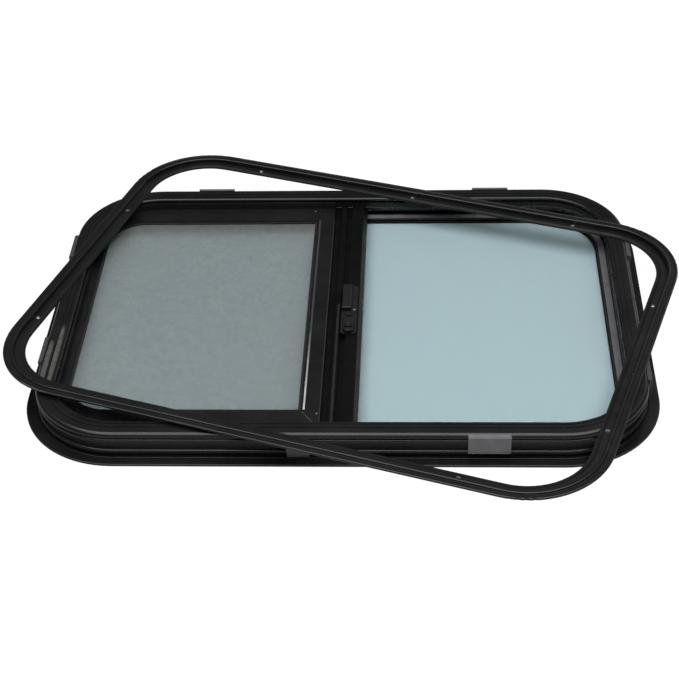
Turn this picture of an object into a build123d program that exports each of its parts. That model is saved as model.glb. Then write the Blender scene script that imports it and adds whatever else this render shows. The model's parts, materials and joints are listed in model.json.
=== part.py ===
from build123d import *
import os

# Sliding window for a caravan wall, lying on its outside face with the room side up.
# Origin at the middle of the outside face, X along the tracks, Y up the wall, Z into the room.
# Millimetres throughout.

os.makedirs("parts", exist_ok=True)

# Outline of the flange
frame_length = 700.0
frame_height = 500.0
frame_corner_radius = 110.0
frame_depth = 33.0

# Section of the frame, with insets measured inwards from the flange's outer edge
flange_width = 13.5
flange_thickness = 2.5
flange_edge_round = 0.9
wall_thickness = 6.0
rim_inset = 36.0
rim_thickness = 3.5
rim_round = 4.5
lip_round = 2.4
outer_lip_inset = 45.4
ledge_inset = 44.4
ledge_thickness = 1.2
ledge_round = 0.7
fin_thickness = 5.8
fin_round = 0.8

# Bead and ribs on the outside of the wall that goes through the cut-out, and a low line along its foot
rib_depth = 3.0
bead_height = 6.0
bead_foot_round = 1.0
high_groove_width = 1.8
high_rib_height = 5.7
low_groove_width = 2.1
low_rib_height = 6.0
rib_round = 2.6
foot_line_inset = 10.4
foot_line_width = 1.8
foot_line_height = 0.8
foot_line_round = 0.5

# Two lines along the top of the rim
rim_line_insets = (25.0, 30.5)
rim_line_width = 1.2
rim_line_depth = 0.8

# Glass, its rubber and its running clearances
glass_thickness = 4.0
glazing_clearance = 0.3
sash_lift = 1.5
track_play = 0.7
glass_edge_clearance = 2.5
gasket_width = 1.6
seal_gap = 0.3
seal_width = 5.0
liner_thickness = 0.5

# Fixed bar under the middle of the window
mullion_width = 32.0
mullion_wall = 4.0
mullion_cover = 9.0
mullion_lip = 1.4
mullion_glass_gap = 1.0

# Meeting stile on the edge of the sliding pane
stile_left = -18.0
stile_tail_left = -26.0
stile_tail_thickness = 2.0
stile_right = 21.0
stile_wrap = 4.5
stile_base = 3.0
stile_rib_left = -11.5
stile_rib_right = -4.0
stile_rib_rise = 7.5
stile_land_left = 2.4
stile_land_rise = 5.5
stile_bevel_width = 4.5
stile_bevel_drop = 3.0
stile_rib_bevel = 1.0
stile_end_clearance = 0.6
pile_left = 5.0
pile_width = 6.0
pile_end_clearance = 5.0
pile_gap = 0.4

# Latch on the stile
latch_left = -3.4
latch_right = 15.0
latch_low_y = -52.0
latch_high_y = 40.0
latch_corner_radius = 4.0
latch_plate_thickness = 2.0
latch_block_width = 11.4
latch_block_low_y = -9.0
latch_block_high_y = 37.0
latch_block_height = 5.5
latch_block_round = 1.6
lever_width = 12.0
lever_reach = 24.0
lever_thickness = 4.4
lever_gap = 0.3
lever_grip_length = 7.0
lever_grip_height = 1.6
lever_edge_round = 1.0
pivot_x = 5.6
pivot_y = -22.0
pivot_radius = 2.5
pivot_clearance = 0.1
pivot_head_radius = 4.0
pivot_head_height = 1.2
latch_screw_x = 11.3
latch_screw_y = -6.3
latch_screw_radius = 2.2
latch_screw_height = 1.0

# Fly screen in the left half
screen_gap = 0.4
screen_right = -19.0
screen_stile_width = 22.1
screen_stile_round = 2.6
screen_bead_width = 5.0
screen_bead_height = 1.2
screen_bead_round = 1.0
screen_rail_inset = 67.5
screen_end_inset = 48.0
screen_opening_radius = 46.0
screen_rail_thickness = 3.9
screen_glass_clearance = 3.0
screen_wall_thickness = 3.0
screen_wall_gap = 1.0
screen_foot_width = 4.5
screen_foot_thickness = 2.0
mesh_thickness = 0.4
mesh_depth = 2.6
spline_width = 3.0
spline_height = 1.4
screen_screw_radius = 1.5
screen_screw_height = 0.6
front_screen_screw_insets = (4.6, 26.6)
back_screen_screw_insets = (26.0, 9.0)

# Clips on the outside of the wall, each slid along the rim to its own place
clip_length = 45.0
clip_reach = 3.6
clip_thickness = 2.0
clip_standoff = 0.3
clip_hook_reach = 1.8
clip_crown_drop = 0.5
clip_crown_reach = 2.5
clip_shoulder_drop = 1.6
clip_leg_bottom = 10.2
clip_foot_clearance = 0.4
clip_foot_reach = 2.0
clip_pad_margin = 1.0
front_clip_x = 161.0
back_clip_x = (-173.0, 176.0)
left_clip_end_gaps = (49.0, 27.0)
right_clip_end_gaps = (17.5, 30.0)

# Stub of the second clip at the front, slid down to the flange
stub_clip_x = -41.0
stub_clip_length = 24.0
stub_clip_height = 16.0

# Infill strips that close the screen's track beside the fixed pane
infill_thickness = 3.0
infill_setback = 0.4
infill_top_gap = 3.0
infill_break = 1.5
infill_end_run = 11.0

# Plate behind the butt joint of the frame
joint_plate_length = 60.0
joint_plate_thickness = 2.0

# Loose clamp ring, about as long as the flange and lying askew on the rim
ring_less_length = 0.2
ring_extra_height = 8.4
ring_corner_radius = 96.0
ring_bar_width = 24.7
ring_lip_bottom = 3.2
ring_lip_thickness = 3.0
ring_lip_width = 3.2
ring_lip_round = 1.45
ring_lip_back_round = 0.7
ring_face_drop = 0.8
ring_web_inset = 8.0
ring_web_lean = 1.5
ring_ridge_inset = 7.6
ring_ridge_width = 4.4
ring_ridge_rise = 1.6
ring_ridge_round = 1.5
ring_flange_thickness = 1.6
ring_slope_inset = 19.0
ring_slope_width = 3.0
ring_edge_thickness = 0.7
ring_x = 3.9
ring_y = -13.1
ring_turn = -18.1
ring_hole_radius = 2.0
ring_hole_inset = 16.6
ring_hole_pitch = 207.0
left_ring_hole_y = (-132.0, 102.0)
right_ring_hole_y = (-120.0, 107.0)
ring_sleeve_length = 80.0
ring_sleeve_thickness = 1.5
ring_sleeve_inset = 3.0
ring_sleeve_clearance = 0.3

# Levels and places that follow from the sizes above
half_length = frame_length / 2
half_height = frame_height / 2
half_straight_x = half_length - frame_corner_radius
half_straight_y = half_height - frame_corner_radius
wall_face = flange_width + rib_depth
wall_inset = wall_face + wall_thickness
fixed_glass_top = flange_thickness + glass_thickness
ledge_bottom = fixed_glass_top + glazing_clearance
ledge_top = ledge_bottom + ledge_thickness
liner_top = ledge_top + liner_thickness
sash_bottom = ledge_top + sash_lift
seal_top = sash_bottom - seal_gap
sash_top = sash_bottom + glass_thickness
fin_bottom = sash_top + track_play
fin_top = fin_bottom + fin_thickness
rim_bottom = frame_depth - rim_thickness
bead_bottom = frame_depth - bead_height
high_rib_top = bead_bottom - high_groove_width
high_rib_bottom = high_rib_top - high_rib_height
low_rib_bottom = flange_thickness + low_groove_width
low_rib_top = low_rib_bottom + low_rib_height
glass_inset = wall_inset + glass_edge_clearance
mullion_left = -mullion_width / 2
mullion_right = mullion_width / 2
mullion_top = ledge_bottom + mullion_lip
fixed_glass_left = mullion_left + mullion_wall + mullion_glass_gap
sash_glass_right = stile_right - stile_wrap
stile_base_top = sash_top + stile_base
rib_top = stile_base_top + stile_rib_rise
land_top = stile_base_top + stile_land_rise
latch_plate_top = land_top + latch_plate_thickness
lever_bottom = latch_plate_top + lever_gap
lever_top = lever_bottom + lever_thickness
screen_bottom = sash_top + screen_glass_clearance
screen_top = screen_bottom + screen_rail_thickness
screen_inset = rim_inset + screen_gap
screen_wall_inset = screen_inset + screen_wall_thickness
half_screen = half_height - screen_inset
half_mesh_opening = half_height - screen_rail_inset
screen_opening_left = screen_end_inset - half_length
screen_opening_right = screen_right - screen_stile_width
mesh_top = screen_top - mesh_depth
infill_inset = rim_inset - infill_setback
infill_top = rim_bottom - infill_top_gap
infill_end_x = half_straight_x - infill_end_run
ring_length = frame_length - ring_less_length
ring_height = frame_height + ring_extra_height


def save(piece, name):
    """Label a finished piece and write it."""
    piece.part.label = name
    export_step(piece.part, f"parts/{name}.step")


def outline(inset, mode=Mode.ADD):
    """Rounded outline of the frame, set in from the flange's outer edge."""
    RectangleRounded(
        frame_length - 2 * inset,
        frame_height - 2 * inset,
        frame_corner_radius - inset,
        mode=mode,
    )


def keep_between(low_x, high_x):
    """Cut the sketch down to a span along X."""
    with Locations(((low_x + high_x) / 2, 0)):
        Rectangle(high_x - low_x, 2 * frame_height, mode=Mode.INTERSECT)


def band(outer_inset, inner_inset, bottom, top, low_x, high_x):
    """Stretch of a band that follows the frame's outline, between two places along X."""
    with BuildSketch(Plane.XY.offset(bottom)) as section:
        outline(outer_inset)
        outline(inner_inset, mode=Mode.SUBTRACT)
        keep_between(low_x, high_x)
    extrude(section.sketch, amount=top - bottom)


def slab(low_x, high_x, low_y, high_y, bottom, top):
    """Plain block between six faces."""
    with BuildSketch(Plane.XY.offset(bottom)) as section:
        with Locations(((low_x + high_x) / 2, (low_y + high_y) / 2)):
            Rectangle(high_x - low_x, high_y - low_y)
    extrude(section.sketch, amount=top - bottom)


def disc(x, y, radius, bottom, top, mode=Mode.ADD):
    """Round boss or hole."""
    with BuildSketch(Plane.XY.offset(bottom)) as section:
        with Locations((x, y)):
            Circle(radius)
    extrude(section.sketch, amount=top - bottom, mode=mode)


def loop_path(plane, length, height, radius):
    """Rounded loop on a plane, to bend a section round."""
    corner_x = length / 2
    corner_y = height / 2
    with BuildLine(plane) as loop:
        FilletPolyline(
            (-corner_x, -corner_y),
            (corner_x, -corner_y),
            (corner_x, corner_y),
            (-corner_x, corner_y),
            radius=radius,
            close=True,
        )
    return loop.line


def section_plane(path):
    """Plane across the start of a loop, with x towards its middle and y up."""
    ahead = path % 0
    return Plane(origin=path @ 0, x_dir=Vector(0, 0, 1).cross(ahead), z_dir=ahead)


def section_corners(section, corners):
    """Vertices of a section that lie at the given corners."""
    return [section.vertices().sort_by_distance(corner)[0] for corner in corners]


# Outer frame: one extrusion bent round and butted, with flange, wall, rim and the teeth of the tracks
foot_line_end = foot_line_inset + foot_line_width
foot_line_top = flange_thickness + foot_line_height
rim_line_floor = frame_depth - rim_line_depth
inside_points = [
    (0, 0),
    (outer_lip_inset, 0),
    (outer_lip_inset, flange_thickness),
    (wall_inset, flange_thickness),
    (wall_inset, ledge_bottom),
    (ledge_inset, ledge_bottom),
    (ledge_inset, ledge_top),
    (wall_inset, ledge_top),
    (wall_inset, fin_bottom),
    (rim_inset, fin_bottom),
    (rim_inset, fin_top),
    (wall_inset, fin_top),
    (wall_inset, rim_bottom),
    (rim_inset, rim_bottom),
    (rim_inset, frame_depth),
]
rim_points = []
for line_inset in reversed(rim_line_insets):
    rim_points += [
        (line_inset + rim_line_width, frame_depth),
        (line_inset + rim_line_width, rim_line_floor),
        (line_inset, rim_line_floor),
        (line_inset, frame_depth),
    ]
outside_points = [
    (flange_width, frame_depth),
    (flange_width, bead_bottom),
    (wall_face, bead_bottom),
    (wall_face, high_rib_top),
    (flange_width, high_rib_top),
    (flange_width, high_rib_bottom),
    (wall_face, high_rib_bottom),
    (wall_face, low_rib_top),
    (flange_width, low_rib_top),
    (flange_width, low_rib_bottom),
    (wall_face, low_rib_bottom),
    (wall_face, flange_thickness),
    (foot_line_end, flange_thickness),
    (foot_line_end, foot_line_top),
    (foot_line_inset, foot_line_top),
    (foot_line_inset, flange_thickness),
    (0, flange_thickness),
]
frame_rounds = (
    (rim_round, [(flange_width, frame_depth)]),
    (lip_round, [(rim_inset, frame_depth)]),
    (fin_round, [(rim_inset, fin_bottom), (rim_inset, fin_top)]),
    (ledge_round, [(ledge_inset, ledge_top)]),
    (bead_foot_round, [(flange_width, bead_bottom)]),
    (rib_round, [(flange_width, high_rib_top), (flange_width, high_rib_bottom)]),
    (rib_round, [(flange_width, low_rib_top), (flange_width, low_rib_bottom)]),
    (foot_line_round, [(foot_line_end, foot_line_top), (foot_line_inset, foot_line_top)]),
    (flange_edge_round, [(0, flange_thickness)]),
)
frame_path = loop_path(Plane.XY, frame_length, frame_height, frame_corner_radius)
with BuildPart() as outer_frame:
    with BuildSketch(section_plane(frame_path)) as frame_section:
        with BuildLine():
            Polyline(*inside_points, *rim_points, *outside_points, close=True)
        make_face()
        for radius, corners in frame_rounds:
            fillet(section_corners(frame_section, corners), radius=radius)
    sweep(path=frame_path)
save(outer_frame, "outer_frame")

# Plate that bridges the butt joint, inside the upper track at the right end
with BuildPart() as frame_joint_plate:
    plate_right = half_length - wall_inset
    half_plate = joint_plate_length / 2
    slab(plate_right - joint_plate_thickness, plate_right, -half_plate, half_plate, fin_top, rim_bottom)
save(frame_joint_plate, "frame_joint_plate")

# Infill strips of the upper track: one straight at the front, one at the back, one bent round the right end
straight_end_x = infill_end_x - infill_break
half_infill = half_height - infill_inset
for place, side in (("front", -1), ("back", 1)):
    with BuildPart() as infill_strip:
        edges = sorted((side * half_infill, side * (half_infill + infill_thickness)))
        slab(screen_right + screen_gap, straight_end_x, *edges, fin_top, infill_top)
    save(infill_strip, f"infill_strip_{place}")

with BuildPart() as infill_strip_end:
    band(infill_inset - infill_thickness, infill_inset, fin_top, infill_top, infill_end_x, frame_length)
save(infill_strip_end, "infill_strip_end")

# Fixed pane in the right half
with BuildPart() as fixed_glass:
    with BuildSketch(Plane.XY.offset(flange_thickness)):
        outline(glass_inset)
        keep_between(fixed_glass_left, frame_length)
    extrude(amount=glass_thickness)
save(fixed_glass, "fixed_glass")

# Rubber round the fixed pane, on the room side and on the outside
with BuildPart() as fixed_glass_gasket:
    band(ledge_inset, ledge_inset + gasket_width, fixed_glass_top, liner_top, mullion_right, frame_length)
save(fixed_glass_gasket, "fixed_glass_gasket")

with BuildPart() as outside_gasket:
    band(outer_lip_inset, outer_lip_inset + gasket_width, 0, flange_thickness, mullion_right, frame_length)
save(outside_gasket, "outside_gasket")

# Seal under the sliding pane in the left half, and a slippery liner in its track in the right half
ledge_flat_inset = ledge_inset - ledge_round
with BuildPart() as sash_seal:
    band(ledge_flat_inset - seal_width, ledge_flat_inset, ledge_top, seal_top, -frame_length, mullion_left)
save(sash_seal, "sash_seal")

with BuildPart() as slide_liner:
    band(rim_inset, ledge_flat_inset, ledge_top, liner_top, mullion_right, frame_length)
save(slide_liner, "slide_liner")

# Fixed bar that holds the inner edge of the fixed pane
mullion_groove = mullion_left + mullion_wall
mullion_cover_right = mullion_groove + mullion_cover
with BuildPart() as centre_mullion:
    with BuildSketch(Plane.XZ):
        with BuildLine():
            Polyline(
                (mullion_left, 0),
                (mullion_right, 0),
                (mullion_right, flange_thickness),
                (mullion_groove, flange_thickness),
                (mullion_groove, ledge_bottom),
                (mullion_cover_right, ledge_bottom),
                (mullion_cover_right, mullion_top),
                (mullion_left, mullion_top),
                close=True,
            )
        make_face()
    extrude(amount=half_height - outer_lip_inset, both=True)
save(centre_mullion, "centre_mullion")

# Sliding pane, closed at the left end
with BuildPart() as sliding_glass:
    with BuildSketch(Plane.XY.offset(sash_bottom)):
        outline(glass_inset)
        keep_between(-frame_length, sash_glass_right)
    extrude(amount=glass_thickness)
save(sliding_glass, "sliding_glass")

# Meeting stile: a channel on the pane's edge with a rib, a slot, a bevelled land and a tail under the screen
with BuildPart() as meeting_stile:
    with BuildSketch(Plane.XZ):
        with BuildLine():
            Polyline(
                (stile_tail_left, sash_top),
                (sash_glass_right, sash_top),
                (sash_glass_right, sash_bottom),
                (stile_right, sash_bottom),
                (stile_right, land_top - stile_bevel_drop),
                (stile_right - stile_bevel_width, land_top),
                (stile_land_left, land_top),
                (stile_land_left, stile_base_top),
                (stile_rib_right, stile_base_top),
                (stile_rib_right, rib_top - stile_rib_bevel),
                (stile_rib_right - stile_rib_bevel, rib_top),
                (stile_rib_left + stile_rib_bevel, rib_top),
                (stile_rib_left, rib_top - stile_rib_bevel),
                (stile_rib_left, stile_base_top),
                (stile_left, stile_base_top),
                (stile_left, sash_top + stile_tail_thickness),
                (stile_tail_left, sash_top + stile_tail_thickness),
                close=True,
            )
        make_face()
    extrude(amount=half_height - rim_inset - stile_end_clearance, both=True)
save(meeting_stile, "meeting_stile")

# Brush strip under the stile, against the fixed pane
with BuildPart() as stile_pile_strip:
    half_pile = half_height - ledge_inset - gasket_width - pile_end_clearance
    slab(pile_left, pile_left + pile_width, -half_pile, half_pile, fixed_glass_top + pile_gap, sash_bottom)
save(stile_pile_strip, "stile_pile_strip")

# Latch plate with its raised block
with BuildPart() as latch_plate:
    with BuildSketch(Plane.XY.offset(land_top)):
        with Locations(((latch_left + latch_right) / 2, (latch_low_y + latch_high_y) / 2)):
            RectangleRounded(latch_right - latch_left, latch_high_y - latch_low_y, latch_corner_radius)
    extrude(amount=latch_plate_thickness)
    block_right = latch_left + latch_block_width
    block_top = latch_plate_top + latch_block_height
    slab(latch_left, block_right, latch_block_low_y, latch_block_high_y, latch_plate_top, block_top)
    fillet(latch_plate.faces().sort_by(Axis.Z)[-1].edges(), radius=latch_block_round)
save(latch_plate, "latch_plate")

# Screw of the latch plate
with BuildPart() as latch_screw:
    screw_top = latch_plate_top + latch_screw_height
    disc(latch_screw_x, latch_screw_y, latch_screw_radius, latch_plate_top, screw_top)
save(latch_screw, "latch_screw")

# Lever with a finger grip, turning on the pivot
lever_tip_y = pivot_y - lever_reach
with BuildPart() as latch_lever:
    with BuildSketch(Plane.XY.offset(lever_bottom)):
        with Locations((pivot_x, (pivot_y + lever_tip_y) / 2)):
            SlotCenterToCenter(lever_reach, lever_width, rotation=90)
    extrude(amount=lever_thickness)
    fillet(latch_lever.faces().sort_by(Axis.Z)[-1].edges(), radius=lever_edge_round)
    grip_half_width = lever_width / 2 - lever_edge_round
    grip_top = lever_top + lever_grip_height
    grip_end_y = lever_tip_y + lever_grip_length
    slab(pivot_x - grip_half_width, pivot_x + grip_half_width, lever_tip_y, grip_end_y, lever_top, grip_top)
    disc(pivot_x, pivot_y, pivot_radius + pivot_clearance, lever_bottom, lever_top, mode=Mode.SUBTRACT)
save(latch_lever, "latch_lever")

with BuildPart() as latch_pivot:
    head_bottom = lever_top + lever_gap
    disc(pivot_x, pivot_y, pivot_radius, latch_plate_top, head_bottom)
    disc(pivot_x, pivot_y, pivot_head_radius, head_bottom, head_bottom + pivot_head_height)
save(latch_pivot, "latch_pivot")

# Fly screen frame: two rails and a bowed end in one piece, mitred to a straight stile
stile_corners = (
    (screen_opening_right, -half_mesh_opening),
    (screen_right, -half_screen),
    (screen_right, half_screen),
    (screen_opening_right, half_mesh_opening),
)


def screen_opening(inset):
    """Opening of the screen, rounded at the left end and set in by an amount."""
    reach = screen_opening_right - screen_opening_left + screen_opening_radius
    with BuildSketch() as shape:
        with Locations((screen_opening_left + reach / 2, 0)):
            RectangleRounded(
                reach - 2 * inset,
                2 * half_mesh_opening - 2 * inset,
                screen_opening_radius - inset,
            )
        keep_between(-frame_length, screen_opening_right - inset)
    return shape.sketch


with BuildPart() as screen_bow:
    with BuildSketch(Plane.XY.offset(screen_bottom)):
        outline(screen_inset)
        keep_between(-frame_length, screen_right)
        add(screen_opening(0), mode=Mode.SUBTRACT)
    extrude(amount=screen_rail_thickness)
    screen_wall_top = rim_bottom - screen_wall_gap
    band(screen_inset, screen_wall_inset, screen_bottom, screen_wall_top, -frame_length, screen_right)
    foot_inset = screen_inset - screen_foot_width
    foot_top = fin_top + screen_foot_thickness
    band(foot_inset, screen_wall_inset, fin_top, foot_top, -frame_length, screen_right)
    with BuildSketch(Plane.XY.offset(screen_bottom)):
        Polygon(*stile_corners, align=None)
    extrude(amount=screen_rail_thickness, mode=Mode.SUBTRACT)
save(screen_bow, "screen_bow")

# Stile of the screen, rounded towards the sliding pane's stile and beaded along the mesh
with BuildPart() as screen_stile:
    with BuildSketch(Plane.XY.offset(screen_bottom)):
        Polygon(*stile_corners, align=None)
    extrude(amount=screen_rail_thickness)
    fillet(screen_stile.faces().sort_by(Axis.Z)[-1].edges().sort_by(Axis.X)[-1], radius=screen_stile_round)
    bead_right = screen_opening_right + screen_bead_width
    bead_top = screen_top + screen_bead_height
    bead_high_y = half_screen - screen_wall_thickness - screen_gap
    slab(screen_opening_right, bead_right, -half_mesh_opening, bead_high_y, screen_top, bead_top)
    fillet(screen_stile.faces().sort_by(Axis.Z)[-1].edges().filter_by(Axis.Y), radius=screen_bead_round)
save(screen_stile, "screen_stile")

# Insect mesh, stretched across the opening and held by a rubber spline
with BuildPart() as screen_mesh:
    with BuildSketch(Plane.XY.offset(mesh_top - mesh_thickness)):
        add(screen_opening(0))
    extrude(amount=mesh_thickness)
save(screen_mesh, "screen_mesh")

with BuildPart() as screen_spline:
    with BuildSketch(Plane.XY.offset(mesh_top)):
        add(screen_opening(0))
        add(screen_opening(spline_width), mode=Mode.SUBTRACT)
    extrude(amount=spline_height)
save(screen_spline, "screen_spline")

# Small screws at the ends of the screen's stile
with BuildPart() as screen_screws:
    for side, (x_inset, y_inset) in ((-1, front_screen_screw_insets), (1, back_screen_screw_insets)):
        screw_y = side * (half_screen - y_inset)
        screw_top = screen_top + screen_screw_height
        disc(screen_right - x_inset, screw_y, screen_screw_radius, screen_top, screw_top)
save(screen_screws, "screen_screws")

# Clips that hook over the rim and press on the cut-out, in section with x outwards from the flange's edge
clip_face = -flange_width
clip_outer = clip_face + clip_reach
clip_inner = clip_outer - clip_thickness
clip_back = clip_face + clip_standoff
clip_hook = clip_face - clip_hook_reach
clip_foot_bottom = low_rib_top + clip_foot_clearance
clip_foot_top = clip_foot_bottom + clip_thickness
clip_pad_bottom = high_rib_bottom + clip_pad_margin
clip_pad_top = high_rib_top - clip_pad_margin
bead_centre = (clip_face - rim_round, frame_depth - rim_round)
clip_section = (
    (clip_hook, frame_depth),
    (clip_face + clip_crown_reach, frame_depth - clip_crown_drop),
    (clip_outer, frame_depth - clip_shoulder_drop),
    (clip_outer, clip_leg_bottom),
    (clip_inner, clip_leg_bottom),
    (clip_inner, clip_foot_bottom),
    (clip_face - clip_foot_reach, clip_foot_bottom),
    (clip_face - clip_foot_reach, clip_foot_top),
    (clip_inner, clip_foot_top),
    (clip_inner, clip_pad_bottom),
    (clip_face, clip_pad_bottom),
    (clip_face, clip_pad_top),
    (clip_back, clip_pad_top),
    (clip_back, frame_depth - rim_round),
    (clip_hook, frame_depth - rim_round),
)
clip_places = [("front_right", (front_clip_x, -half_height, 0), (0, -1, 0))]
for place, x in zip(("left", "right"), back_clip_x):
    clip_places.append((f"back_{place}", (x, half_height, 0), (0, 1, 0)))
for place, side, gap in zip(("front", "back"), (-1, 1), left_clip_end_gaps):
    clip_places.append((f"left_{place}", (-half_length, side * (half_straight_y - gap), 0), (-1, 0, 0)))
for place, side, gap in zip(("front", "back"), (-1, 1), right_clip_end_gaps):
    clip_places.append((f"right_{place}", (half_length, side * (half_straight_y - gap), 0), (1, 0, 0)))

for place, edge_point, outwards in clip_places:
    along = Vector(outwards).cross(Vector(0, 0, 1))
    with BuildPart() as clip:
        with BuildSketch(Plane(origin=edge_point, x_dir=outwards, z_dir=along)):
            Polygon(*clip_section, align=None)
            with Locations(bead_centre):
                Circle(rim_round + clip_standoff, mode=Mode.SUBTRACT)
        extrude(amount=clip_length / 2, both=True)
    save(clip, f"clip_{place}")

# Broken clip at the front: only its leg is left, down on the flange under the clamp ring
with BuildPart() as clip_front_left:
    stub_left = stub_clip_x - stub_clip_length / 2
    stub_right = stub_clip_x + stub_clip_length / 2
    stub_back = flange_width - half_height - clip_standoff
    stub_front = stub_back - clip_thickness
    stub_bottom = foot_line_top + clip_foot_clearance
    stub_top = stub_bottom + stub_clip_height
    slab(stub_left, stub_right, stub_front, stub_back, stub_bottom, stub_top)
save(clip_front_left, "clip_front_left")

# Clamp ring: a raised round lip, a ridge and a screw flange that thins out to its inner edge
ring_plane = Plane(
    origin=(ring_x, ring_y, frame_depth),
    x_dir=Vector(1, 0, 0).rotate(Axis.Z, ring_turn),
    z_dir=(0, 0, 1),
)
ring_ridge_end = ring_ridge_inset + ring_ridge_width
ring_lip_top = ring_lip_bottom + ring_lip_thickness
ring_face_top = ring_lip_top - ring_face_drop
ring_ridge_top = ring_face_top + ring_ridge_rise
ring_points = (
    (ring_web_inset + ring_web_lean, 0),
    (ring_bar_width, 0),
    (ring_bar_width, ring_edge_thickness),
    (ring_slope_inset + ring_slope_width, ring_edge_thickness),
    (ring_slope_inset, ring_flange_thickness),
    (ring_ridge_end, ring_flange_thickness),
    (ring_ridge_end, ring_ridge_top),
    (ring_ridge_inset, ring_ridge_top),
    (ring_ridge_inset, ring_face_top),
    (ring_lip_width, ring_face_top),
    (ring_lip_width, ring_lip_top),
    (0, ring_lip_top),
    (0, ring_lip_bottom),
    (ring_web_inset, ring_lip_bottom),
)
ring_rounds = (
    (ring_lip_round, [(0, ring_lip_top), (0, ring_lip_bottom)]),
    (ring_lip_back_round, [(ring_lip_width, ring_lip_top)]),
    (ring_ridge_round, [(ring_ridge_inset, ring_ridge_top), (ring_ridge_end, ring_ridge_top)]),
)
ring_hole_row = ring_height / 2 - ring_hole_inset
ring_hole_column = ring_length / 2 - ring_hole_inset
ring_holes = [(x, side * ring_hole_row) for side in (-1, 1) for x in (-ring_hole_pitch, 0, ring_hole_pitch)]
ring_holes += [(-ring_hole_column, y) for y in left_ring_hole_y]
ring_holes += [(ring_hole_column, y) for y in right_ring_hole_y]
ring_path = loop_path(ring_plane, ring_length, ring_height, ring_corner_radius)
with BuildPart() as clamp_ring:
    with BuildSketch(section_plane(ring_path)) as ring_section:
        with BuildLine():
            Polyline(*ring_points, close=True)
        make_face()
        for radius, corners in ring_rounds:
            fillet(section_corners(ring_section, corners), radius=radius)
    sweep(path=ring_path)
    with BuildSketch(ring_plane):
        with Locations(*ring_holes):
            Circle(ring_hole_radius)
    extrude(amount=ring_flange_thickness, mode=Mode.SUBTRACT)
save(clamp_ring, "clamp_ring")

# Sleeve under the ring's lip where its two ends butt
with BuildPart() as ring_sleeve:
    sleeve_low_y = ring_sleeve_inset - ring_height / 2
    sleeve_high_y = ring_web_inset - ring_sleeve_clearance - ring_height / 2
    with BuildSketch(ring_plane.offset(ring_lip_bottom - ring_sleeve_thickness)):
        with Locations((0, (sleeve_low_y + sleeve_high_y) / 2)):
            Rectangle(ring_sleeve_length, sleeve_high_y - sleeve_low_y)
    extrude(amount=ring_sleeve_thickness)
save(ring_sleeve, "ring_sleeve")
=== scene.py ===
import json
import math

import bpy
import numpy as np
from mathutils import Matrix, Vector


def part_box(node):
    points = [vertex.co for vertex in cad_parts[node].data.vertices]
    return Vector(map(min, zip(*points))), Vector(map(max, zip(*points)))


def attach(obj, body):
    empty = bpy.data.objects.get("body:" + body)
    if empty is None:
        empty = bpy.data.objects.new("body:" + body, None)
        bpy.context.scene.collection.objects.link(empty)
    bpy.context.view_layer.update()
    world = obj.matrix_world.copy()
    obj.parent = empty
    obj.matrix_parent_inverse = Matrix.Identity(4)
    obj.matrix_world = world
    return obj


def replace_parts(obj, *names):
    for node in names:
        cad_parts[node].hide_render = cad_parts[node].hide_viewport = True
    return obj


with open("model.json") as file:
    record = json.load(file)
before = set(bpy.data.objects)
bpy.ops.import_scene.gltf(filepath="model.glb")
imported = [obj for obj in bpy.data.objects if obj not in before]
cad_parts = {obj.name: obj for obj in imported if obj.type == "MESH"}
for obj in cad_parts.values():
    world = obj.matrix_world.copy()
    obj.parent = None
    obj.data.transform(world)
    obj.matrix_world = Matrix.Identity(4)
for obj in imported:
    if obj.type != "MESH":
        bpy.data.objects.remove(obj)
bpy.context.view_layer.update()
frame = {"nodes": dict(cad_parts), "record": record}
nodes = frame["nodes"]
scene = bpy.context.scene

# Fly mesh
wire_pitch = 0.00135
wire_width = 0.00024
wire_layer = 0.0002
mesh_corner_radius = 0.046

# Screw heads: radius of the screen's, and the crown and cross recess as shares of a head's radius and height
screen_screw_radius = 0.0015
head_side = 0.35
head_crown = ((0.93, 0.72), (0.78, 0.94), (0.64, 1.0))
recess_reach = 0.55
recess_half_width = 0.13
recess_depth = 0.6
recess_floor_share = 0.85

# Ribs on the lever's finger grip
grip_width = 0.0086
grip_rib_width = 0.0010
grip_rib_height = 0.0005
grip_rib_pitch = 0.0019
grip_rib_first = 0.8
grip_ribs = 3

# Painted highlight line on the bead of the screen's stile, and the stretch along Y over which it fades
bead_highlight_front = -0.185
bead_highlight_back = -0.04
bead_line_offset = 0.0033
bead_line_width = 0.0021
bead_line_height = 0.00035
bead_line_sink = 0.0002

# Painted highlight line on the rib of the sash's stile
rib_line_offset = 0.0282
rib_line_width = 0.0036
rib_line_height = 0.00012
rib_line_sink = 0.0002
rib_line_end_gap = 0.006
rib_line_back = 0.004

# Gap at the ends of the mitre line on the screen's stile
mitre_end_gap = 0.001

# Brush strip of the stile
fibre_pitch = 0.0011
fibre_rows = 5
fibre_width = 0.00022
fibre_lean = 0.00025
fibre_lean_limit = 0.0005
fibre_length_spread = 0.0001
brush_backing = 0.0007
brush_margin = 0.0006

# Butt joints of the frame and of the clamp ring
seam_half_width = 0.00018
seam_rise = 0.00005
seam_sink = 0.00020
frame_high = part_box("outer_frame")[1]
frame_seam_y = 0.0026
rim_outer_inset = 0.0135
rim_round = 0.0045
rim_inner_inset = 0.036
lip_round = 0.0024
rim_top = frame_high.z
ring_low, ring_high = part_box("clamp_ring")
ring_centre = Vector(((ring_low.x + ring_high.x) / 2, (ring_low.y + ring_high.y) / 2, ring_low.z))
ring_turn = math.radians(-18.1)
ring_half_length = 0.3499
ring_half_height = 0.2542

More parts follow.
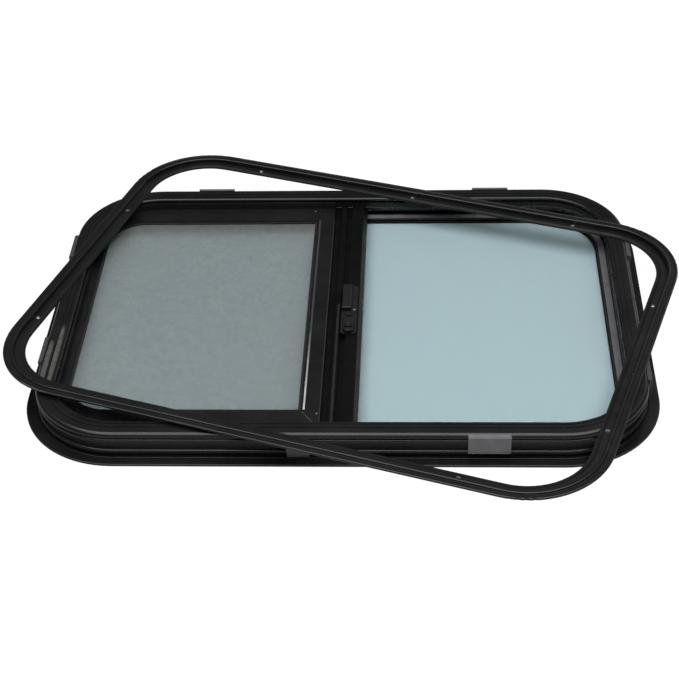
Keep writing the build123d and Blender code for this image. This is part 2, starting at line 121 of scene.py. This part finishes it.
# Section of the clamp ring: insets from its outer edge and heights over the rim
ring_inner_inset = 0.0246
ring_lip_inset = 0.0220
ring_lip_top = 0.0007
ring_flange_inset = 0.0190
ring_flange_top = 0.0016
ring_ridge_foot = 0.0121
ring_ridge_insets = (0.0105, 0.0091)
ring_ridge_level = 0.0055
ring_ridge_round = 0.0015
ring_step = ((0.0034, 0.0054), (0.0030, 0.0062))
ring_edge_round = 0.00145
ring_edge_level = 0.00475

# Colours of dust on the black coat and of the painted highlight streaks on the left rail
dust_colour = (0.045, 0.045, 0.043)
rail_highlight_colour = (0.105, 0.100, 0.090)

# Painted highlight streaks on the left rail, standing in for light on its rounded ridges: place along X,
# middle along Y and reach from there
rail_highlight_streaks = ((-0.3300, -0.120, 0.046), (-0.3211, -0.106, 0.060))
rail_streak_half_width = 0.0030
rail_streak_depth = 0.0020

# Bare metal in the ring's screw holes, with its section as radii and heights
ring_hole_inset = 0.0166
ring_hole_pitch = 0.207
left_ring_hole_y = (-0.132, 0.102)
right_ring_hole_y = (-0.120, 0.107)
countersink_section = (
    (0.00240, 0.00004), (0.00195, 0.00004), (0.00125, -0.0009), (0.00125, -0.0013), (0.00195, -0.0013))

# Floor, and its glow to the camera and in reflections
floor_reach = 40.0
floor_drop = 0.0004
floor_glow = 1.08
floor_glow_reflected = 0.40
floor_glow_share = 0.88

# World: height at which it starts to lighten, and its strength below and overhead
sky_start = 0.55
sky_below = 0.06
sky_overhead = 0.40

# Camera: place in metres, and tilt, roll and heading in degrees
camera_place = (0.092312, -1.507179, 1.160847)
camera_turn = (51.828, 1.886, 2.319)
camera_focal_length = 85.817


def new_material(name):
    """Material with an empty Principled shader, with its tree and shader."""
    material = bpy.data.materials.new(name)
    material.use_nodes = True
    tree = material.node_tree
    return material, tree, tree.nodes["Principled BSDF"]


def node(tree, kind, **values):
    """Shader node with its properties and plain inputs set."""
    made = tree.nodes.new(kind)
    for name, value in values.items():
        if hasattr(made, name):
            setattr(made, name, value)
        else:
            made.inputs[name.replace("_", " ")].default_value = value
    return made


def noise(tree, scale, detail=3.0):
    """Noise in the object's own metres."""
    place = node(tree, "ShaderNodeTexCoord").outputs["Object"]
    texture = node(tree, "ShaderNodeTexNoise", Scale=scale, Detail=detail)
    tree.links.new(place, texture.inputs["Vector"])
    return texture.outputs["Fac"]


def ranged(tree, value, low, high, start=0.3, end=0.7):
    """Value of a texture spread between two numbers."""
    spread = node(tree, "ShaderNodeMapRange")
    spread.inputs["From Min"].default_value = start
    spread.inputs["From Max"].default_value = end
    spread.inputs["To Min"].default_value = low
    spread.inputs["To Max"].default_value = high
    tree.links.new(value, spread.inputs["Value"])
    return spread.outputs["Result"]


def blend_colours(tree, value, low, high):
    """Colour between two colours, by a value from 0 to 1."""
    mix = node(tree, "ShaderNodeMix", data_type="RGBA")
    mix.inputs["A"].default_value = (*low, 1)
    mix.inputs["B"].default_value = (*high, 1)
    tree.links.new(value, mix.inputs["Factor"])
    return mix.outputs["Result"]


def mottled(tree, scale, detail, dark, light):
    """Colour that drifts between two colours over a surface."""
    return blend_colours(tree, ranged(tree, noise(tree, scale, detail), low=0.0, high=1.0), dark, light)


def laid_over(tree, share, under, colour):
    """Colour laid over another one by a share from 0 to 1."""
    mix = node(tree, "ShaderNodeMix", data_type="RGBA")
    mix.inputs["B"].default_value = (*colour, 1)
    tree.links.new(under, mix.inputs["A"])
    tree.links.new(share, mix.inputs["Factor"])
    return mix.outputs["Result"]


def bump(tree, shader, height, strength, distance):
    """Fine relief on a shader."""
    relief = node(tree, "ShaderNodeBump")
    relief.inputs["Strength"].default_value = strength
    relief.inputs["Distance"].default_value = distance
    tree.links.new(height, relief.inputs["Height"])
    tree.links.new(relief.outputs["Normal"], shader.inputs["Normal"])


def hump(tree, value, centre, half_width):
    """Value that falls from 2 at a place on an axis to 0 on both sides, so that it is flat when clamped."""
    away = node(tree, "ShaderNodeMath", operation="SUBTRACT")
    away.inputs[1].default_value = centre
    tree.links.new(value, away.inputs[0])
    distance = node(tree, "ShaderNodeMath", operation="ABSOLUTE")
    tree.links.new(away.outputs["Value"], distance.inputs[0])
    return ranged(tree, distance.outputs["Value"], low=2.0, high=0.0, start=0.0, end=half_width)


def combined(tree, operation, first, second):
    """Two values put together by a plain sum, product or the like, kept from 0 to 1."""
    made = node(tree, "ShaderNodeMath", operation=operation, use_clamp=True)
    tree.links.new(first, made.inputs[0])
    tree.links.new(second, made.inputs[1])
    return made.outputs["Value"]


def painted_highlight_streaks(tree):
    """Share of painted highlight: two light streaks along the top of the left rail, near its front."""
    split = node(tree, "ShaderNodeSeparateXYZ")
    tree.links.new(node(tree, "ShaderNodeTexCoord").outputs["Object"], split.inputs["Vector"])
    streaks = []
    for place_x, middle_y, reach_y in rail_highlight_streaks:
        across = hump(tree, split.outputs["X"], place_x, rail_streak_half_width)
        along = hump(tree, split.outputs["Y"], middle_y, reach_y)
        streaks.append(combined(tree, "MULTIPLY", across, along))
    both = combined(tree, "ADD", *streaks)
    on_top = hump(tree, split.outputs["Z"], rim_top, rail_streak_depth)
    patchy = ranged(tree, noise(tree, scale=160.0, detail=4.0), low=0.55, high=1.0)
    return combined(tree, "MULTIPLY", combined(tree, "MULTIPLY", both, on_top), patchy)


def coated_metal(name, dark, light, specular, rail_highlights=False):
    """Satin black coat on aluminium with orange peel, a dusty bloom, specks and any painted highlight
    streaks.
    """
    material, tree, shader = new_material(name)
    bloom = ranged(tree, noise(tree, scale=14.0, detail=5.0), low=0.0, high=1.0, start=0.38, end=0.72)
    specks = ranged(tree, noise(tree, scale=520.0, detail=2.0), low=0.0, high=1.0, start=0.74, end=0.80)
    colour = laid_over(tree, specks, blend_colours(tree, bloom, dark, light), dust_colour)
    if rail_highlights:
        # Painted highlight: light streaks laid over the coat on the left rail
        colour = laid_over(tree, painted_highlight_streaks(tree), colour, rail_highlight_colour)
    tree.links.new(colour, shader.inputs["Base Color"])
    rough = ranged(tree, noise(tree, scale=45.0, detail=4.0), low=0.22, high=0.33)
    tree.links.new(rough, shader.inputs["Roughness"])
    bump(tree, shader, noise(tree, scale=2600.0, detail=2.0), strength=0.10, distance=0.0002)
    shader.inputs["Specular IOR Level"].default_value = specular
    return material


def rubber():
    """Matt black rubber with a fine grain."""
    material, tree, shader = new_material("black_rubber")
    colour = mottled(tree, scale=60.0, detail=3.0, dark=(0.007, 0.007, 0.008), light=(0.014, 0.014, 0.015))
    tree.links.new(colour, shader.inputs["Base Color"])
    tree.links.new(ranged(tree, noise(tree, scale=220.0), low=0.55, high=0.78), shader.inputs["Roughness"])
    bump(tree, shader, noise(tree, scale=1800.0, detail=3.0), strength=0.2, distance=0.0003)
    shader.inputs["Specular IOR Level"].default_value = 0.35
    return material


def plastic(name, dark, light, low_rough, high_rough, grain):
    """Moulded plastic with a spark-eroded grain."""
    material, tree, shader = new_material(name)
    colour = mottled(tree, scale=80.0, detail=4.0, dark=dark, light=light)
    tree.links.new(colour, shader.inputs["Base Color"])
    rough = ranged(tree, noise(tree, scale=320.0, detail=3.0), low_rough, high_rough)
    tree.links.new(rough, shader.inputs["Roughness"])
    bump(tree, shader, noise(tree, grain, 2.0), strength=0.25, distance=0.0002)
    shader.inputs["Specular IOR Level"].default_value = 0.4
    return material


def tinted_glass():
    """Blue-green toughened glass that lets lamp light through to what is behind it."""
    material, tree, shader = new_material("tinted_glass")
    tint = (0.555, 0.64, 0.66)
    shader.inputs["Base Color"].default_value = (*tint, 1)
    shader.inputs["Transmission Weight"].default_value = 1.0
    shader.inputs["IOR"].default_value = 1.5
    smear = ranged(tree, noise(tree, scale=9.0, detail=4.0), low=0.0, high=0.012, start=0.45, end=0.8)
    tree.links.new(smear, shader.inputs["Roughness"])
    clear = node(tree, "ShaderNodeBsdfTransparent")
    clear.inputs["Color"].default_value = (*[math.sqrt(c) for c in tint], 1)
    path = node(tree, "ShaderNodeLightPath")
    mix = node(tree, "ShaderNodeMixShader")
    tree.links.new(path.outputs["Is Shadow Ray"], mix.inputs["Fac"])
    tree.links.new(shader.outputs["BSDF"], mix.inputs[1])
    tree.links.new(clear.outputs["BSDF"], mix.inputs[2])
    tree.links.new(mix.outputs["Shader"], tree.nodes["Material Output"].inputs["Surface"])
    return material


def mesh_wire():
    """Grey coated glass-fibre yarn."""
    material, tree, shader = new_material("fly_mesh")
    colour = mottled(tree, scale=130.0, detail=3.0, dark=(0.228, 0.235, 0.228), light=(0.310, 0.318, 0.308))
    tree.links.new(colour, shader.inputs["Base Color"])
    tree.links.new(ranged(tree, noise(tree, scale=900.0), low=0.45, high=0.65), shader.inputs["Roughness"])
    return material


def plated_steel():
    """Zinc-plated screws with small stains."""
    material, tree, shader = new_material("steel")
    colour = mottled(tree, scale=700.0, detail=4.0, dark=(0.15, 0.15, 0.155), light=(0.28, 0.28, 0.285))
    tree.links.new(colour, shader.inputs["Base Color"])
    tree.links.new(ranged(tree, noise(tree, scale=1500.0), low=0.22, high=0.42), shader.inputs["Roughness"])
    shader.inputs["Metallic"].default_value = 1.0
    return material


def pile_fabric():
    """Black brush pile."""
    material, tree, shader = new_material("pile")
    colour = mottled(tree, scale=2200.0, detail=2.0, dark=(0.008, 0.008, 0.008), light=(0.03, 0.03, 0.03))
    tree.links.new(colour, shader.inputs["Base Color"])
    tree.links.new(ranged(tree, noise(tree, scale=1500.0), low=0.75, high=0.95), shader.inputs["Roughness"])
    bump(tree, shader, noise(tree, scale=3000.0, detail=2.0), strength=0.6, distance=0.0005)
    return material


coat = {"dark": (0.0055, 0.0055, 0.0062), "light": (0.0095, 0.0095, 0.0105), "specular": 0.5}
deep_coat = {"dark": (0.0022, 0.0022, 0.0026), "light": (0.0040, 0.0040, 0.0046), "specular": 0.24}
# Lighter coat for the painted highlight line on the sash's rib
rib_highlight_coat = {"dark": (0.014, 0.014, 0.014), "light": (0.026, 0.025, 0.025), "specular": 0.5}
finishes = {
    "black_frame": coated_metal("black_frame", **coat),
    "black_rubber": rubber(),
    "black_plastic": plastic(
        "black_plastic", dark=(0.0045, 0.0050, 0.0050), light=(0.0085, 0.0090, 0.0090),
        low_rough=0.38, high_rough=0.52, grain=2400.0),
    "grey_plastic": plastic(
        "grey_plastic", dark=(0.105, 0.105, 0.111), light=(0.140, 0.140, 0.146),
        low_rough=0.36, high_rough=0.50, grain=1500.0),
    "tinted_glass": tinted_glass(),
    "fly_mesh": mesh_wire(),
    "steel": plated_steel(),
    "pile": pile_fabric(),
}
for part in frame["record"]["subparts"]:
    carried = nodes[part["node"]].data.materials
    carried.clear()
    carried.append(finishes[part["material_slot"]])

# Frame coat with painted highlight streaks on the left rail, deeper black on the sash's stile, and darker
# grey clips at the frame's two ends
nodes["outer_frame"].data.materials[0] = coated_metal("frame_painted_highlights", **coat, rail_highlights=True)
nodes["meeting_stile"].data.materials[0] = coated_metal("stile_coat", **deep_coat)
# Darker grey plastic on the four clips at the frame's two ends
darker_clip = plastic(
    "darker_clip", dark=(0.040, 0.040, 0.042), light=(0.058, 0.058, 0.060),
    low_rough=0.40, high_rough=0.55, grain=1500.0)
for clip in ("clip_left_front", "clip_left_back", "clip_right_front", "clip_right_back"):
    nodes[clip].data.materials[0] = darker_clip


def add_mesh(name, points, faces, slot, body, smooth=False):
    """Mesh object in the row frame that rides on a body, with smooth sides and flat ends where asked."""
    data = bpy.data.meshes.new(name)
    data.from_pydata(points, [], faces)
    data.update()
    if smooth:
        data.polygons.foreach_set("use_smooth", [len(face) == 4 for face in faces])
    data.materials.append(finishes[slot])
    made = bpy.data.objects.new(name, data)
    scene.collection.objects.link(made)
    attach(made, body)
    return made


def joined(shapes):
    """Points and faces of several shapes as one mesh."""
    points = []
    faces = []
    for shape_points, shape_faces in shapes:
        first_point = len(points)
        points += shape_points
        faces += [tuple(first_point + index for index in face) for face in shape_faces]
    return points, faces


def bars(centres, lows, highs, level, along):
    """Straight wires side by side, as points and faces of four-sided bars."""
    half = wire_width / 2
    points = []
    faces = []
    for centre, low, high in zip(centres, lows, highs):
        base = len(points)
        for end in (low, high):
            for across, up in ((-half, 0.0), (half, 0.0), (half, wire_layer), (-half, wire_layer)):
                flat = (end, centre + across) if along == "x" else (centre + across, end)
                points.append((*flat, level + up))
        for side in range(4):
            after = (side + 1) % 4
            faces.append((base + side, base + after, base + 4 + after, base + 4 + side))
        faces.append((base + 3, base + 2, base + 1, base))
        faces.append((base + 4, base + 5, base + 6, base + 7))
    return points, faces


def corner_reach(offset, radius):
    """How far a rounded corner pulls in at a distance from where it starts."""
    return radius - math.sqrt(max(radius * radius - offset * offset, 0.0))


# Fly mesh: two layers of wires across the screen's opening, ending under the spline
mesh_low, mesh_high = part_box("screen_mesh")
left, right = mesh_low.x, mesh_high.x
front, back = mesh_low.y, mesh_high.y
columns = np.arange(left + wire_pitch / 2, right, wire_pitch)
rows = np.arange(front + wire_pitch / 2, back, wire_pitch)
corner_left = left + mesh_corner_radius
corner_back = back - mesh_corner_radius
column_cut = [corner_reach(max(corner_left - x, 0.0), mesh_corner_radius) for x in columns]
row_cut = [corner_reach(max(abs(y) - corner_back, 0.0), mesh_corner_radius) for y in rows]
column_fronts = [front + cut for cut in column_cut]
column_backs = [back - cut for cut in column_cut]
row_lefts = [left + cut for cut in row_cut]
lower_wires = bars(columns, column_fronts, column_backs, mesh_low.z, "y")
upper_wires = bars(rows, row_lefts, [right] * len(rows), mesh_low.z + wire_layer, "x")
weave = add_mesh("fly_mesh_wires", *joined([lower_wires, upper_wires]), "fly_mesh", "frame")
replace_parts(weave, "screen_mesh")


def cross_screw(centre, radius, height):
    """Pan head with a cross recess, as rings of points and the faces between them."""
    reach = radius * recess_reach
    width = radius * recess_half_width
    slope = math.atan2(width, reach)
    quarter = [0.0, slope, math.pi / 8, math.pi / 4, 3 * math.pi / 8, math.pi / 2 - slope]
    angles = [turn * math.pi / 2 + angle for turn in range(4) for angle in quarter]

    def recess_edge(angle):
        """Distance from the middle to the edge of the cross."""
        across = max(abs(math.cos(angle)), 1e-9)
        along = max(abs(math.sin(angle)), 1e-9)
        return max(min(reach / across, width / along), min(reach / along, width / across))

    edges = [recess_edge(angle) for angle in angles]
    recess_level = height * (1 - recess_depth)
    count = len(angles)
    rings = [([radius] * count, 0.0), ([radius] * count, head_side * height)]
    rings += [([share * radius] * count, level * height) for share, level in head_crown]
    rings += [(edges, height), ([recess_floor_share * edge for edge in edges], recess_level)]
    points = []
    for radii, level in rings:
        for reach_out, angle in zip(radii, angles):
            points.append(centre + Vector((reach_out * math.cos(angle), reach_out * math.sin(angle), level)))
    points.append(centre + Vector((0, 0, recess_level)))
    faces = [tuple(reversed(range(count)))]
    for ring in range(len(rings) - 1):
        for side in range(count):
            after = (side + 1) % count
            low = ring * count
            faces.append((low + side, low + after, low + count + after, low + count + side))
    last = (len(rings) - 1) * count
    faces += [(last + side, last + (side + 1) % count, len(points) - 1) for side in range(count)]
    return points, faces


# Screw heads, one on the latch plate and two on the screen
latch_low, latch_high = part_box("latch_screw")
latch_centre = Vector(((latch_low.x + latch_high.x) / 2, (latch_low.y + latch_high.y) / 2, latch_low.z))
latch_radius = (latch_high.x - latch_low.x) / 2
latch_head = cross_screw(latch_centre, latch_radius, latch_high.z - latch_low.z)
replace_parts(add_mesh("latch_screw_head", *latch_head, "steel", "sash"), "latch_screw")

screen_low, screen_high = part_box("screen_screws")
screen_centres = (
    Vector((screen_high.x - screen_screw_radius, screen_low.y + screen_screw_radius, screen_low.z)),
    Vector((screen_low.x + screen_screw_radius, screen_high.y - screen_screw_radius, screen_low.z)),
)
screen_rise = screen_high.z - screen_low.z
screen_heads = joined([cross_screw(centre, screen_screw_radius, screen_rise) for centre in screen_centres])
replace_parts(add_mesh("screen_screw_heads", *screen_heads, "steel", "frame"), "screen_screws")


def bare_metal():
    """Bare aluminium with fine stains."""
    material, tree, shader = new_material("bare_metal")
    colour = mottled(tree, scale=900.0, detail=4.0, dark=(0.20, 0.20, 0.20), light=(0.34, 0.34, 0.34))
    tree.links.new(colour, shader.inputs["Base Color"])
    tree.links.new(ranged(tree, noise(tree, scale=1400.0), low=0.30, high=0.45), shader.inputs["Roughness"])
    shader.inputs["Metallic"].default_value = 0.7
    return material


def painted_bead_highlight():
    """Painted highlight along a bead: a pale colour on the black coat, strongest at its front end and fading
    backwards.
    """
    material, tree, shader = new_material("painted_bead_highlight")
    place = node(tree, "ShaderNodeTexCoord").outputs["Object"]
    split = node(tree, "ShaderNodeSeparateXYZ")
    tree.links.new(place, split.inputs["Vector"])
    highlight_fade = ranged(tree, split.outputs["Y"], low=1.0, high=0.05, start=bead_highlight_front, end=bead_highlight_back)
    patches = ranged(tree, noise(tree, scale=70.0, detail=4.0), low=0.75, high=1.0)
    highlight_share = combined(tree, "MULTIPLY", highlight_fade, patches)
    # Painted highlight: pale colour laid on the bead, fading from its front end
    colour = blend_colours(tree, highlight_share, (0.018, 0.018, 0.019), (0.62, 0.62, 0.60))
    tree.links.new(colour, shader.inputs["Base Color"])
    tree.links.new(ranged(tree, noise(tree, scale=400.0), low=0.32, high=0.46), shader.inputs["Roughness"])
    return material


def half_round(start, end, across, level, width, height, axis, sides=8):
    """Rounded rib along X or Y on a flat face, between two places along it."""
    points = []
    for along in (start, end):
        for step in range(sides + 1):
            angle = math.pi * step / sides
            flat = across - width / 2 * math.cos(angle)
            place = (along, flat) if axis == "x" else (flat, along)
            points.append((*place, level + height * math.sin(angle)))
    count = sides + 1
    faces = [(step, count + step, count + step + 1, step + 1) for step in range(sides)]
    faces += [(0, sides, count + sides, count), tuple(range(count)), tuple(reversed(range(count, 2 * count)))]
    if axis == "y":
        faces = [tuple(reversed(face)) for face in faces]
    return points, faces


# Painted highlight line along the bead of the screen's stile
stile_low, stile_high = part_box("screen_stile")
bead_line = half_round(
    mesh_low.y,
    mesh_high.y,
    stile_low.x + bead_line_offset,
    stile_high.z - bead_line_sink,
    bead_line_width,
    bead_line_height + bead_line_sink,
    "y",
)
bead_highlight = add_mesh("screen_bead_line", *bead_line, "black_frame", "frame")
bead_highlight.data.materials[0] = painted_bead_highlight()

# Painted highlight line along the front half of the sash's rib
sash_low, sash_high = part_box("meeting_stile")
rib_line = half_round(
    sash_low.y + rib_line_end_gap,
    rib_line_back,
    sash_high.x - rib_line_offset,
    sash_high.z - rib_line_sink,
    rib_line_width,
    rib_line_height + rib_line_sink,
    "y",
)
rib_painted_highlight = add_mesh("stile_rib_line", *rib_line, "black_frame", "sash")
rib_painted_highlight.data.materials[0] = coated_metal("rib_painted_highlight", **rib_highlight_coat)

# Ribs across the lever's finger grip
lever_low, lever_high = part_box("latch_lever")
lever_middle = (lever_low.x + lever_high.x) / 2
grip_start = lever_low.y + (lever_high.x - lever_low.x) / 2
ribs = [
    half_round(
        lever_middle - grip_width / 2,
        lever_middle + grip_width / 2,
        grip_start + (rib + grip_rib_first) * grip_rib_pitch,
        lever_high.z,
        grip_rib_width,
        grip_rib_height,
        "x",
    )
    for rib in range(grip_ribs)
]
add_mesh("lever_grip_ribs", *joined(ribs), "black_plastic", "latch", smooth=True)


def block(low, high):
    """Plain block between two corners."""
    points = [(x, y, z) for z in (low[2], high[2]) for y in (low[1], high[1]) for x in (low[0], high[0])]
    faces = [(0, 2, 3, 1), (4, 5, 7, 6), (0, 1, 5, 4), (2, 6, 7, 3), (0, 4, 6, 2), (1, 3, 7, 5)]
    return points, faces


def fibre(root, tip, width):
    """Three-sided bristle that thins out to a point."""
    points = []
    for step in range(3):
        angle = 2 * math.pi * step / 3
        points.append((root[0] + width * math.cos(angle), root[1] + width * math.sin(angle), root[2]))
    points.append(tip)
    return points, [(0, 1, 2), (0, 3, 1), (1, 3, 2), (2, 3, 0)]


# Brush strip of the stile: a thin backing with rows of bristles down to the fixed pane
rng = np.random.default_rng(7)
brush_low, brush_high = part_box("stile_pile_strip")
bristles = [block((brush_low.x, brush_low.y, brush_high.z - brush_backing), brush_high)]
for row_x in np.linspace(brush_low.x + brush_margin, brush_high.x - brush_margin, fibre_rows):
    for row_y in np.arange(brush_low.y + brush_margin, brush_high.y - brush_margin, fibre_pitch):
        lean = np.clip(rng.normal(0.0, fibre_lean, 2), -fibre_lean_limit, fibre_lean_limit)
        tip_z = brush_low.z + abs(rng.normal(0.0, fibre_length_spread))
        root = (row_x, row_y, brush_high.z - brush_backing)
        bristles.append(fibre(root, (row_x + lean[0], row_y + lean[1], tip_z), fibre_width))
brush = add_mesh("stile_brush", *joined(bristles), "pile", "sash")
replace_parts(brush, "stile_pile_strip")


def arc(centre, radius, start, end, steps):
    """Points of a round stretch in a section, with angles in degrees from the inset axis."""
    angles = np.radians(np.linspace(start, end, steps))
    return [(centre[0] + radius * math.cos(angle), centre[1] + radius * math.sin(angle)) for angle in angles]


def seam(name, section, place, along, slot):
    """Fine line across a section where two ends meet, a hair proud of the surface."""
    outline = [Vector(point) for point in section]
    points = []
    for index, point in enumerate(outline):
        before = outline[max(index - 1, 0)]
        after = outline[min(index + 1, len(outline) - 1)]
        run = (after - before).normalized()
        out = Vector((-run.y, run.x))
        for level in (seam_rise, -seam_sink):
            shifted = point + out * level
            for side in (-1, 1):
                points.append(place(shifted) + along * (side * seam_half_width))
    faces = [(0, 2, 3, 1)]
    for index in range(len(outline) - 1):
        low = 4 * index
        for one, other in ((0, 1), (1, 3), (3, 2), (2, 0)):
            faces.append((low + one, low + other, low + 4 + other, low + 4 + one))
    last = 4 * (len(outline) - 1)
    faces.append((last, last + 1, last + 3, last + 2))
    return add_mesh(name, points, faces, slot, "frame")


# Butt joint of the frame, over the rim at the right end
rim_section = arc((rim_inner_inset - lip_round, rim_top - lip_round), lip_round, 0, 90, 5)
rim_section += arc((rim_outer_inset + rim_round, rim_top - rim_round), rim_round, 90, 180, 7)


def on_frame(point):
    """Place of a point of the rim's section at the frame's joint."""
    return Vector((frame_high.x - point.x, frame_seam_y, point.y))


seam("frame_joint_line", rim_section, on_frame, Vector((0, 1, 0)), "black_rubber")

# Butt joint of the clamp ring, over the lip and the ridge of its front bar
ring_section = [(ring_inner_inset, ring_lip_top), (ring_lip_inset, ring_lip_top)]
ring_section += [(ring_flange_inset, ring_flange_top), (ring_ridge_foot, ring_flange_top)]
ring_section += arc((ring_ridge_insets[0], ring_ridge_level), ring_ridge_round, 0, 90, 5)
ring_section += arc((ring_ridge_insets[1], ring_ridge_level), ring_ridge_round, 90, 180, 5)
ring_section += ring_step
ring_section += arc((ring_edge_round, ring_edge_level), ring_edge_round, 90, 200, 6)
ring_along = Vector((math.cos(ring_turn), math.sin(ring_turn), 0))
ring_inwards = Vector((-math.sin(ring_turn), math.cos(ring_turn), 0))


def on_ring(point):
    """Place of a point of the ring's section at the ring's joint."""
    return ring_centre + ring_inwards * (point.x - ring_half_height) + Vector((0, 0, point.y))


seam("ring_joint_line", ring_section, on_ring, ring_along, "black_rubber")

# Mitre at the front end of the screen's stile, where the cut ends show bare metal
rail_top = screen_low.z
mitre_start = Vector((stile_low.x, mesh_low.y, rail_top))
mitre_run = Vector((stile_high.x, stile_low.y, rail_top)) - mitre_start
mitre_along = mitre_run.normalized()
mitre_across = Vector((mitre_along.y, -mitre_along.x, 0))
mitre_section = [(mitre_end_gap, 0.0), (mitre_run.length - mitre_end_gap, 0.0)]


def on_mitre(point):
    """Place of a point along the mitre and above the rail."""
    return mitre_start + mitre_along * point.x + Vector((0, 0, point.y))


bare = bare_metal()
mitre = seam("screen_mitre_front", mitre_section, on_mitre, mitre_across, "steel")
mitre.data.materials[0] = bare


def turned(centre, section, sides=24):
    """Closed section of radius and height turned round an upright line."""
    count = len(section)
    points = []
    for side in range(sides):
        angle = 2 * math.pi * side / sides
        outwards = Vector((math.cos(angle), math.sin(angle), 0))
        points += [centre + outwards * radius + Vector((0, 0, height)) for radius, height in section]
    faces = []
    for side in range(sides):
        after = (side + 1) % sides
        for step in range(count):
            ahead = (step + 1) % count
            here, there = side * count, after * count
            faces.append((here + step, here + ahead, there + ahead, there + step))
    return points, faces


# Bare metal where the ring's screw holes are countersunk, but for two coated ones at the front
hole_row = ring_half_height - ring_hole_inset
hole_column = ring_half_length - ring_hole_inset
holes = [(x, hole_row) for x in (-ring_hole_pitch, 0.0, ring_hole_pitch)]
holes.append((ring_hole_pitch, -hole_row))
holes += [(-hole_column, y) for y in left_ring_hole_y]
holes += [(hole_column, y) for y in right_ring_hole_y]
flange_centre = ring_centre + Vector((0, 0, ring_flange_top))
hole_tops = [flange_centre + ring_along * x + ring_inwards * y for x, y in holes]
countersinks = joined([turned(top, countersink_section) for top in hole_tops])
sinks = add_mesh("ring_hole_countersinks", *countersinks, "steel", "frame")
sinks.data.materials[0] = bare

# Floor
floor_data = bpy.data.meshes.new("floor")
floor_signs = ((-1, -1), (1, -1), (1, 1), (-1, 1))
floor_corners = [(x * floor_reach, y * floor_reach, -floor_drop) for x, y in floor_signs]
floor_data.from_pydata(floor_corners, [], [(0, 1, 2, 3)])
floor = bpy.data.objects.new("floor", floor_data)
scene.collection.objects.link(floor)
paper, tree, shader = new_material("floor")
shader.inputs["Base Color"].default_value = (0.90, 0.90, 0.90, 1)
shader.inputs["Roughness"].default_value = 0.9
shader.inputs["Specular IOR Level"].default_value = 0.1
glow = node(tree, "ShaderNodeEmission")
path = node(tree, "ShaderNodeLightPath")
glow_strength = node(tree, "ShaderNodeMix", data_type="FLOAT")
glow_strength.inputs["A"].default_value = floor_glow
glow_strength.inputs["B"].default_value = floor_glow_reflected
tree.links.new(path.outputs["Is Glossy Ray"], glow_strength.inputs["Factor"])
tree.links.new(glow_strength.outputs["Result"], glow.inputs["Strength"])
seen = node(tree, "ShaderNodeMath", operation="MAXIMUM")
tree.links.new(path.outputs["Is Camera Ray"], seen.inputs[0])
tree.links.new(path.outputs["Is Glossy Ray"], seen.inputs[1])
direct = node(tree, "ShaderNodeMath", operation="MULTIPLY")
direct.inputs[1].default_value = floor_glow_share
tree.links.new(seen.outputs["Value"], direct.inputs[0])
share = node(tree, "ShaderNodeMix", data_type="FLOAT")
tree.links.new(path.outputs["Is Transmission Ray"], share.inputs["Factor"])
tree.links.new(direct.outputs["Value"], share.inputs["A"])
share.inputs["B"].default_value = 0.0
mix = node(tree, "ShaderNodeMixShader")
tree.links.new(share.outputs["Result"], mix.inputs["Fac"])
tree.links.new(shader.outputs["BSDF"], mix.inputs[1])
tree.links.new(glow.outputs["Emission"], mix.inputs[2])
tree.links.new(mix.outputs["Shader"], tree.nodes["Material Output"].inputs["Surface"])
floor_data.materials.append(paper)

# World: dim near the horizon and lighter overhead, and pale where the camera sees it
world = bpy.data.worlds.new("studio")
scene.world = world
world.use_nodes = True
tree = world.node_tree
sky = tree.nodes["Background"]
place = node(tree, "ShaderNodeTexCoord")
split = node(tree, "ShaderNodeSeparateXYZ")
tree.links.new(place.outputs["Generated"], split.inputs["Vector"])
rise = node(tree, "ShaderNodeMapRange", interpolation_type="SMOOTHSTEP")
rise.inputs["From Min"].default_value = sky_start
rise.inputs["From Max"].default_value = 1.0
rise.inputs["To Min"].default_value = sky_below
rise.inputs["To Max"].default_value = sky_overhead
tree.links.new(split.outputs["Z"], rise.inputs["Value"])
tree.links.new(rise.outputs["Result"], sky.inputs["Strength"])
sky.inputs["Color"].default_value = (1.0, 1.0, 1.0, 1)
pale = node(tree, "ShaderNodeBackground", Strength=1.0)
path = node(tree, "ShaderNodeLightPath")
mix = node(tree, "ShaderNodeMixShader")
tree.links.new(path.outputs["Is Camera Ray"], mix.inputs["Fac"])
tree.links.new(sky.outputs["Background"], mix.inputs[1])
tree.links.new(pale.outputs["Background"], mix.inputs[2])
tree.links.new(mix.outputs["Shader"], tree.nodes["World Output"].inputs["Surface"])


def softbox(name, place, aim, width, height, power):
    """Rectangular soft lamp aimed at a point."""
    lamp = bpy.data.lights.new(name, "AREA")
    lamp.shape = "RECTANGLE"
    lamp.size = width
    lamp.size_y = height
    lamp.energy = power
    made = bpy.data.objects.new(name, lamp)
    scene.collection.objects.link(made)
    made.location = place
    made.rotation_mode = "QUATERNION"
    made.rotation_quaternion = (Vector(aim) - Vector(place)).to_track_quat("-Z", "Y")


softbox("overhead", place=(0.1, -0.62, 2.4), aim=(0.1, -0.62, 0), width=3.6, height=2.9, power=90.0)
softbox("front", place=(-0.3, -2.3, 1.5), aim=(0, 0, 0), width=1.6, height=0.8, power=3.0)
softbox("window", place=(1.3, 1.7, 1.0), aim=(0, 0, 0), width=0.9, height=1.1, power=2.8)

# Camera at the photograph's viewing angle
lens = bpy.data.cameras.new("camera")
lens.sensor_width = 36.0
lens.lens = camera_focal_length
lens.clip_start = 0.05
lens.clip_end = 200.0
camera = bpy.data.objects.new("camera", lens)
scene.collection.objects.link(camera)
camera.location = camera_place
camera.rotation_euler = [math.radians(angle) for angle in camera_turn]
scene.camera = camera
scene.view_settings.view_transform = "Standard"
